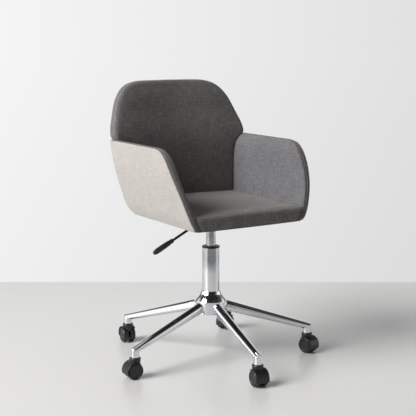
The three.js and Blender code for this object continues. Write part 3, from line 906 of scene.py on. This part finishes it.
def puff(pads):
    """Inflates the pads with cloth simulation. Each value is how far a point may move, in millimetres."""
    rest = {}
    for pad in pads:
        rest[pad] = np.array([v.co for v in pad.data.vertices])
        cloth = pad.modifiers.new("cloth", "CLOTH")
        cloth.settings.vertex_group_mass = "held"
        cloth.settings.use_pressure = True
        cloth.settings.uniform_pressure_force = PRESSURE
        cloth.settings.effector_weights.gravity = 0
        cloth.settings.quality = 6
        cloth.point_cache.frame_start = 1
        cloth.point_cache.frame_end = SIMULATED_FRAMES
    for number in range(1, SIMULATED_FRAMES + 1):
        scene.frame_set(number)
    graph = bpy.context.evaluated_depsgraph_get()
    moved = {pad: np.array([v.co for v in pad.evaluated_get(graph).data.vertices]) for pad in pads}
    scene.frame_set(1)
    for pad, most in pads.items():
        pad.modifiers.clear()
        step = moved[pad] - rest[pad]
        size = np.maximum(np.linalg.norm(step, axis=1), 1e-9)[:, None]
        eased = most * MM * np.tanh(size / (most * MM))
        print("swell", pad.name, round(float(size.max()) * 1000, 1), "mm before the cap")
        held = [v.index for v in pad.data.vertices if len(v.groups) > 0]
        moves = taut(pad.data, step / size * eased, held)
        pad.data.vertices.foreach_set("co", (rest[pad] + moves).ravel())
        pad.data.update()


# ---------------------------------------------------------------- base

def turned_size(node):
    """Bottom, top and radius of a turned CAD node, in millimetres."""
    low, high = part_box(node)
    return low.z / MM, high.z / MM, (high.x - low.x) / 2 / MM


def turned(name, profile, radii, material, segments):
    """A turned tube on the swivel axis, from a closed profile and the rounding of each of its corners."""
    piece = lathe(name, filleted(profile, radii, closed=True), material, segments, closed=True)
    piece.location = AXIS
    return piece


def column_and_hub():
    bottom, top, radius = turned_size("base_hub")
    column_bottom, column_top, column_radius = turned_size("column_tube")
    bush_bottom, bush_top, lip = turned_size("guide_bush")
    inner = column_radius + 0.4
    wall = 3.5
    hub = turned("hub_casting", [
        (inner, bottom), (inner + 3, bottom), (inner + 3, bottom + 34), (radius - wall, bottom + 24),
        (radius - wall, bottom), (radius, bottom), (radius, bottom + 36), (radius - 7, bottom + 45),
        (radius - 15, bottom + 54), (column_radius + 2.6, top), (inner, top),
    ], [0.4, 0.6, 1, 1, 0.6, 1.4, 2.2, 8, 8, 0.8, 0.4], "chrome_base", 128)
    column = turned("column", [
        (6, column_bottom), (column_radius, column_bottom), (column_radius, column_top),
        (column_radius - 2, column_top), (column_radius - 2, column_bottom + 3.5),
        (6, column_bottom + 3.5),
    ], [0.3, 1.2, 0.5, 0.3, 0.5, 0.3], "chrome_base", 128)
    bush = turned("column_bush", [
        (14.3, bush_bottom), (column_radius - 2.4, bush_bottom), (column_radius - 2.4, column_top + 0.4),
        (lip, column_top + 0.4), (lip, bush_top - 1.2), (lip - 1.4, bush_top), (17, bush_top),
        (16.4, bush_top - 1.2), (14.3, bush_top - 1.2),
    ], [0.4, 0.4, 0.2, 0.5, 0.8, 0.9, 0.5, 0.4, 0.4], "bush_plastic", 112)
    finish_piece(hub, "base", ["base_hub"])
    finish_piece(column, "base", ["column_tube"])
    finish_piece(bush, "base", ["guide_bush"])


def gas_cylinder():
    bottom, top, radius = turned_size("gas_cylinder")
    cylinder = turned("gas_cylinder_tube", [
        (5.5, bottom), (radius, bottom), (radius, bottom + 145), (radius - 0.8, top), (3.5, top),
        (3.5, top - 5), (radius - 2.4, top - 5), (radius - 2.4, bottom + 6), (5.5, bottom + 6),
    ], [0.3, 1.6, 0.5, 0.8, 0.3, 0.3, 0.5, 0.5, 0.3], "gas_cylinder_chrome", 96)
    finish_piece(cylinder, "seat", ["gas_cylinder"])


HUB_RADIUS = 47.0
LEG_ROOT = {"z": 150.5, "height": 33.0}
LEG_TIP = {"z": 78.0, "height": 20.0}
LEG_RATIO = {"root": 0.92, "tip": 1.1}           # width of the oval tube against its height
BOSS = {"radius": 11.5, "bottom": 58.0}


def leg(number):
    """A tapered oval tube whose end turns down into an upright boss, like a mitred elbow.

    It is made pointing to -Y and turned into place.
    """
    stem = Vector(joints[f"caster_swivel_{number}"]["pos_m"]) - AXIS
    reach = math.hypot(stem.x, stem.y) / MM
    turn = np.linspace(0, 2 * math.pi, 64, endpoint=False)
    start, rings = HUB_RADIUS - 9, []
    for share in np.linspace(0, 1 + 16 / (reach - start), 10):
        y = -start - share * (reach - start)
        z = LEG_ROOT["z"] + share * (LEG_TIP["z"] - LEG_ROOT["z"])
        half = (LEG_ROOT["height"] + share * (LEG_TIP["height"] - LEG_ROOT["height"])) / 2
        ratio = LEG_RATIO["root"] + share * (LEG_RATIO["tip"] - LEG_RATIO["root"])
        ring = np.stack([half * ratio * np.cos(turn), np.full(64, y), z + half * np.sin(turn)], 1)
        rings.append(ring * MM)
    oval = loft(f"leg_tube_{number}", rings, "chrome_base")
    elbow = lathe("elbow", [(0, 40), (BOSS["radius"], 40), (BOSS["radius"], 100), (0, 100)],
                  "chrome_base", 64, (0, -reach))
    run = loft("run", [np.array([(x, y, z) for x, z in ((-30, 30), (30, 30), (30, 190), (-30, 190))]) * MM
                       for y in (-start + 2, -reach)], "chrome_base")
    boolean(elbow, [run], "UNION")
    boolean(oval, [elbow], "INTERSECT")
    boss = lathe("boss", filleted([
        (0, BOSS["bottom"]), (BOSS["radius"], BOSS["bottom"]), (BOSS["radius"], 78), (0, 80),
    ], [0, 1.0, 3.0, 0], 6), "chrome_base", 64, (0, -reach))
    bore = lathe("bore", [(0, BOSS["bottom"] - 2), (5.9, BOSS["bottom"] - 2), (5.9, 84.4), (0, 84.4)],
                 "chrome_base", 40, (0, -reach))
    boolean(oval, [boss], "UNION")
    boolean(oval, [bore], "DIFFERENCE")
    add_bevel(oval, 1.6, 40, 3)
    bake_modifiers(oval)
    sharp_edges(oval)
    oval.data.transform(Matrix.Translation(AXIS) @ Matrix.Rotation(math.atan2(stem.x, -stem.y), 4, "Z"))
    finish_piece(oval, "base", [f"leg_{number}"])


# ---------------------------------------------------------------- casters

WHEEL_RADIUS = 22.7
AXLE_HEIGHT = 22.72
TRAIL = 6.0
CASTER_WIDTH = 39.0
WHEEL_INNER = 4.8


def caster_frame(number):
    """The caster's own frame: X along the axle, the hood towards -Y, origin under the stem."""
    axle = Vector(joints[f"wheel_roll_left_{number}"]["axis"])
    stem = Vector(joints[f"caster_swivel_{number}"]["pos_m"]) * Vector((1, 1, 0))
    return Matrix.Translation(stem) @ Matrix.Rotation(math.atan2(axle.y, axle.x), 4, "Z")


def swept_fender():
    """The hood's band over both wheels, rounded along its lips, from front to back."""
    inner, outer, half = WHEEL_RADIUS + 0.7, WHEEL_RADIUS + 2.7, CASTER_WIDTH / 2
    section = filleted([
        (-half, inner), (half, inner), (half, outer - 0.5), (half - 2.5, outer + 0.1),
        (-half + 2.5, outer + 0.1), (-half, outer - 0.5),
    ], [0.5, 0.5, 0.9, 2, 2, 0.9], 3, closed=True)
    rings = []
    for angle in np.radians(np.linspace(52, 200, 40)):
        rings.append([(x, -TRAIL + r * math.cos(angle), AXLE_HEIGHT + r * math.sin(angle))
                      for x, r in section])
    return loft("fender", np.array(rings) * MM, "caster_plastic")


def web_disc():
    """The plate between the two wheels."""
    turn = np.radians(np.linspace(-20, 340, 60, endpoint=False))
    radius = np.where((np.degrees(turn) > 55) & (np.degrees(turn) < 200), WHEEL_RADIUS + 1.5, 12.0)
    depth, height = -TRAIL + radius * np.cos(turn), AXLE_HEIGHT + radius * np.sin(turn)
    rings = [np.stack([np.full(60, x), depth, height], 1) * MM for x in (-4.0, 4.0)]
    return loft("web", rings, "caster_plastic")


def hood_mesh():
    """Fender, web and collar as one closed moulding, at the caster's own origin."""
    fender = swept_fender()
    collar = lathe("collar", filleted([
        (0, 36), (13.5, 36), (15.2, 50), (15.6, 55.5), (14.6, 57.6), (0, 57.6),
    ], [0, 0.5, 3, 1, 1, 0], 4), "caster_plastic", 64)
    rooms = [lathe("room", [(0, 5.0), (WHEEL_RADIUS + 0.7, 5.0), (WHEEL_RADIUS + 0.7, 30.0), (0, 30.0)],
                   "caster_plastic", 64) for _ in range(2)]
    for room, side in zip(rooms, (-1, 1)):
        room.data.transform(on_axle(side))
    bores = [lathe("bore", [(0, 46.2), (5.9, 46.2), (5.9, 60), (0, 60)], "caster_plastic", 40)]
    boolean(fender, [web_disc(), collar], "UNION")
    boolean(fender, rooms + bores, "DIFFERENCE")
    add_bevel(fender, 0.35, 40, 2)
    bake_modifiers(fender)
    mesh = sharp_edges(fender, 40).data
    bpy.data.objects.remove(fender)
    return mesh


def wheel_mesh():
    """A wheel about +Z: moulded disc with a rim groove and a hub cap, tyre tread with rounded shoulders."""
    rim = CASTER_WIDTH / 2 - 0.5
    profile = filleted([
        (0, rim - 1.0), (5.5, rim - 1.0), (6.2, rim - 1.9), (15.2, rim - 1.6), (16.4, rim - 0.4),
        (18.2, rim - 0.2), (19.0, rim - 1.6), (20.0, rim - 1.6), (20.6, rim - 0.5),
        (WHEEL_RADIUS, rim - 2.6), (WHEEL_RADIUS, WHEEL_INNER + 1.6), (WHEEL_RADIUS - 1.6, WHEEL_INNER),
        (3.4, WHEEL_INNER), (3.4, rim - 4.5), (0, rim - 4.5),
    ], [0, 0.6, 0.5, 0.6, 0.6, 0.4, 0.3, 0.3, 0.7, 2.0, 1.4, 1.0, 0.3, 0.3, 0], 3)
    wheel = lathe("wheel", profile, "caster_plastic", 72)
    mesh = sharp_edges(wheel, 50).data
    bpy.data.objects.remove(wheel)
    return mesh


def on_axle(side):
    """From a turned piece's own axis to the caster's axle, facing the side of the sign given."""
    return (Matrix.Translation((0, -TRAIL * MM, AXLE_HEIGHT * MM))
            @ Matrix.Rotation(side * math.pi / 2, 4, "Y"))


def casters():
    hood, wheel = hood_mesh(), wheel_mesh()

    def place_copy(name, mesh, matrix, body, node):
        piece = bpy.data.objects.new(name, mesh.copy())
        scene.collection.objects.link(piece)
        piece.data.transform(matrix)
        finish_piece(piece, body, [node])

    for number in range(1, LEG_COUNT + 1):
        base = caster_frame(number)
        place_copy(f"caster_body_{number}", hood, base, f"caster_{number}", f"caster_hood_{number}")
        for side in (1, -1):
            word = f"{hand(side)}_{number}"
            place_copy(f"caster_wheel_{word}", wheel, base @ on_axle(side), f"wheel_{word}", f"wheel_{word}")


# ---------------------------------------------------------------- mechanism and lever

PIVOT = Vector(joints["lever_lift"]["pos_m"])
LEVER = {"slope": 26.5, "inner": 39.0, "rod_end": 114.0, "grip_start": 103.0, "grip_length": 70.0}


def lever():
    """The height lever: a bent rod with an eye at the pivot, and a waisted grip."""
    slope = math.radians(LEVER["slope"])
    downhill = Vector((-math.cos(slope), 0, -math.sin(slope)))
    corner = 16.0
    path = [PIVOT + Vector((x * MM, 0, 0)) for x in (LEVER["inner"], LEVER["inner"] / 2, corner)]
    start, end = PIVOT + Vector((corner * MM, 0, 0)), PIVOT + downhill * corner * MM
    path += [(1 - t) ** 2 * start + 2 * t * (1 - t) * PIVOT + t * t * end for t in np.linspace(0.1, 0.9, 9)]
    path += [PIVOT + downhill * d * MM for d in np.linspace(corner, LEVER["rod_end"], 8)]
    rod = tube("lever_bar", [tuple(p) for p in path], 3.6 * MM, "black_steel", 24)
    eye_profile = filleted([(0, -4.5), (7, -4.5), (7, 4.5), (0, 4.5)], [0, 0.6, 0.6, 0])
    eye = lathe("eye", eye_profile, "black_steel", 48)
    pin = lathe("pin", [(0, -12), (2.9, -12), (2.9, 12), (0, 12)], "black_steel", 32)
    for tool in (eye, pin):
        tool.data.transform(Matrix.Translation(PIVOT) @ Matrix.Rotation(math.pi / 2, 4, "X"))
    boolean(rod, [eye], "UNION")
    boolean(rod, [pin], "DIFFERENCE")
    sharp_edges(rod)
    finish_piece(rod, "lever", ["lever_rod"])

    profile = filleted([
        (0, 11.4), (4.4, 11.4), (4.4, 0), (5.6, 0), (6.5, 2.5), (6.6, 7), (6.1, 9), (7.3, 16),
        (7.8, 30), (8.1, 48), (7.6, 60), (5.4, 67.5), (0, LEVER["grip_length"]),
    ], [0, 0.3, 0.3, 0.8, 1.2, 1.2, 1.5, 4, 6, 6, 5, 4, 0], 4)
    grip = lathe("lever_handle", profile, "grip_plastic", 64)
    grip.data.transform(
        Matrix.Translation(PIVOT + downhill * LEVER["grip_start"] * MM)
        @ Vector((0, 0, 1)).rotation_difference(downhill).to_matrix().to_4x4()
        @ Matrix.Diagonal((1, 0.88, 1, 1)))
    finish_piece(grip, "lever", ["lever_grip"])


def round_pressed_steel():
    """Rounded edges on two carried-over CAD nodes. All such nodes keep the frame's plain materials."""
    for name in ("mechanism_housing", "mounting_plate"):
        add_bevel(frame["nodes"][name], 0.8, 50)


# ---------------------------------------------------------------- stage, lights and camera

CAMERA = {"distance": 2.8, "height": 0.9046, "heading": 0.5574, "pitch": 0.1672, "lens": 87.09}
WALL_DISTANCE = 0.886                          # behind the swivel axis, along the camera's heading
heading = Vector((math.sin(CAMERA["heading"]), math.cos(CAMERA["heading"]), 0))
rightward = Vector((heading.y, -heading.x, 0))


def make_camera():
    camera = bpy.data.objects.new("camera", bpy.data.cameras.new("camera"))
    camera.data.lens = CAMERA["lens"]
    camera.data.sensor_width = 36
    true_heading = 0.5603
    towards_chair = Vector((math.sin(true_heading), math.cos(true_heading), 0))
    camera.location = AXIS - CAMERA["distance"] * towards_chair
    camera.location.z = CAMERA["height"]
    camera.rotation_euler = (math.pi / 2 - CAMERA["pitch"], 0, -CAMERA["heading"])
    scene.collection.objects.link(camera)
    scene.camera = camera


def make_floor():
    """A pale floor that ends where the wall stands. Beyond about 1.2 m from the origin it is painted dark
    and glossier, as shade for the chrome to reflect.
    """
    near, far, half = -6.0, WALL_DISTANCE, 6.0
    places = ((near, -half), (near, half), (far, half), (far, -half))
    corners = [AXIS + heading * depth + rightward * width for depth, width in places]
    mesh = bpy.data.meshes.new("floor")
    mesh.from_pydata([tuple(c) for c in corners], [], [(0, 1, 2, 3)])
    floor = bpy.data.objects.new("floor", mesh)
    material = new_material("floor", (0.75, 0.745, 0.735), 0.3, Specular_IOR_Level=0.5)
    away = add_node(material, "ShaderNodeVectorMath", [("Vector", place_on(material, (0.2, 0.2, 0.2)))],
                    operation="LENGTH").outputs["Value"]
    # Painted shade: the floor turns dark from about 1.2 m to 2 m out, so that chrome reflects a dark studio
    # there.
    connect(material, ramp(material, away, [(0.24, (0.75, 0.745, 0.735)), (0.4, grey(0.1))]), "Base Color")
    connect(material, ramp(material, away, [(0.24, grey(0.3)), (0.4, grey(0.14))]), "Roughness")
    mesh.materials.append(material)
    scene.collection.objects.link(floor)


FILL = 0.24                                    # how much of the studio lights matt surfaces
STUDIO_PEAK = 1.6
STUDIO = [(-180, 0.35), (-140, 0.4), (-128, 1.5), (-66, 1.4), (-58, 0.2), (-46, 0.2), (-40, 0.88),
          (40, 0.84), (48, 0.18), (58, 0.2), (64, 1.3), (104, 1.2), (116, 0.4), (180, 0.35)]


def make_world():
    """A pale wall with painted shade, darker to the right away from the window and a little darker at its
    foot, and for reflections a studio with windows and dark gaps.

    Directions are turned so that the angle 0 looks along the camera's heading and grows to the right.
    """
    world = bpy.data.worlds.new("studio")
    scene.world = world
    world.use_nodes = True
    nodes, links = world.node_tree.nodes, world.node_tree.links
    background = nodes["Background"]

    def node(kind, inputs=(), **values):
        made = set_values(nodes.new(kind), values)
        for index, source in enumerate(inputs):
            if isinstance(source, (int, float, Vector)):
                made.inputs[index].default_value = source
            elif source is not None:
                links.new(source, made.inputs[index])
        return made

    direction = node("ShaderNodeTexCoord").outputs["Generated"]
    right = node("ShaderNodeVectorMath", [direction, rightward], operation="DOT_PRODUCT").outputs["Value"]
    ahead = node("ShaderNodeVectorMath", [direction, heading], operation="DOT_PRODUCT").outputs["Value"]
    vertical = Vector((0, 0, 1))
    up = node("ShaderNodeVectorMath", [direction, vertical], operation="DOT_PRODUCT").outputs["Value"]
    # Painted shade on the wall: it fades to the right, away from the window, and darkens near the floor
    # line.
    wall = node("ShaderNodeMapRange", [right], From_Min=-0.22, From_Max=0.22, To_Min=0.92, To_Max=0.75)
    foot = node("ShaderNodeMapRange", [up], From_Min=-0.24, From_Max=-0.02, To_Min=0.95, To_Max=1.0)
    wall = node("ShaderNodeMath", [wall.outputs["Result"], foot.outputs["Result"]], operation="MULTIPLY")
    angle = node("ShaderNodeMath", [right, ahead], operation="ARCTAN2").outputs[0]
    turn = node("ShaderNodeMapRange", [angle], From_Min=-math.pi, From_Max=math.pi).outputs["Result"]
    room = node("ShaderNodeValToRGB", [turn])
    while len(room.color_ramp.elements) < len(STUDIO):
        room.color_ramp.elements.new(0.5)
    for element, (degrees, value) in zip(room.color_ramp.elements, STUDIO):
        element.position = degrees / 360 + 0.5
        element.color = (*grey(value / STUDIO_PEAK), 1)
    ceiling = node("ShaderNodeMapRange", [up], From_Min=0.45, From_Max=0.62, To_Min=1.0, To_Max=0.06)
    room = node("ShaderNodeMath", [room.outputs["Color"], STUDIO_PEAK], operation="MULTIPLY").outputs[0]
    room = node("ShaderNodeMath", [room, ceiling.outputs["Result"]], operation="MULTIPLY").outputs[0]
    path = node("ShaderNodeLightPath")
    fill = node("ShaderNodeMapRange", [path.outputs["Is Diffuse Ray"]], To_Min=1.0, To_Max=FILL)
    room = node("ShaderNodeMath", [room, fill.outputs["Result"]], operation="MULTIPLY").outputs[0]
    shown = node("ShaderNodeMix", data_type="FLOAT")
    links.new(path.outputs["Is Camera Ray"], shown.inputs["Factor"])
    links.new(room, shown.inputs["A"])
    links.new(wall.outputs[0], shown.inputs["B"])
    links.new(shown.outputs["Result"], background.inputs["Strength"])
    background.inputs["Color"].default_value = (0.995, 0.997, 1.0, 1)


def add_light(name, kind, power, colour, place, aim):
    """A light at place that shines along aim."""
    light = bpy.data.lights.new(name, kind)
    light.energy = power
    light.color = colour
    lamp = bpy.data.objects.new(name, light)
    lamp.location = place
    lamp.rotation_mode = "QUATERNION"
    lamp.rotation_quaternion = aim.to_track_quat("-Z", "Y")
    scene.collection.objects.link(lamp)
    return lamp


def area_light(name, place, size, power, colour=(1, 1, 1)):
    """A round light that shines on the seat, with its place given from there."""
    lamp = add_light(name, "AREA", power, colour, AXIS + Vector((0, 0, 0.45)) + place, -place)
    lamp.data.shape = "DISK"
    lamp.data.size = size
    return lamp


def make_lights():
    """A wide window from the chair's -X side: an even part, and a part that fades across the floor."""
    towards = Vector((-0.999, 0.04, 0))
    warm = (1.0, 0.995, 0.99)
    window = add_light("window", "SUN", 2.6, warm, Vector(), -(towards + Vector((0, 0, 0.75))))
    window.data.angle = math.radians(36)
    area_light("key", towards * 2.1 + Vector((0, 0, 1.5)), 1.5, 28.0, warm)
    overhead = area_light("overhead", heading * 0.3 + Vector((0, 0, 2.6)), 2.2, 14.0)
    overhead.visible_glossy = False


# ---------------------------------------------------------------- assembly

make_camera()
make_floor()
make_world()
make_lights()
scene.view_settings.view_transform = "Standard"
scene.view_settings.look = "None"

round_pressed_steel()
column_and_hub()
gas_cylinder()
for leg_number in range(1, LEG_COUNT + 1):
    leg(leg_number)
casters()
lever()

seat_pan()
seat = seat_cushion()
back = back_cushion()
arms = [arm_cushion(side) for side in (1, -1)]
outer = [outer_arm_panel(side) for side in (1, -1)]
rear_panel = outer_rear_panel()
swell = {seat: 5.0, back: 4.0, arms[0]: 2.5, arms[1]: 2.5}
puff(swell)
for soft in (seat, back, *arms):
    subdivide(soft)
for soft, side in zip(arms, (1, -1)):
    piping(soft, side)
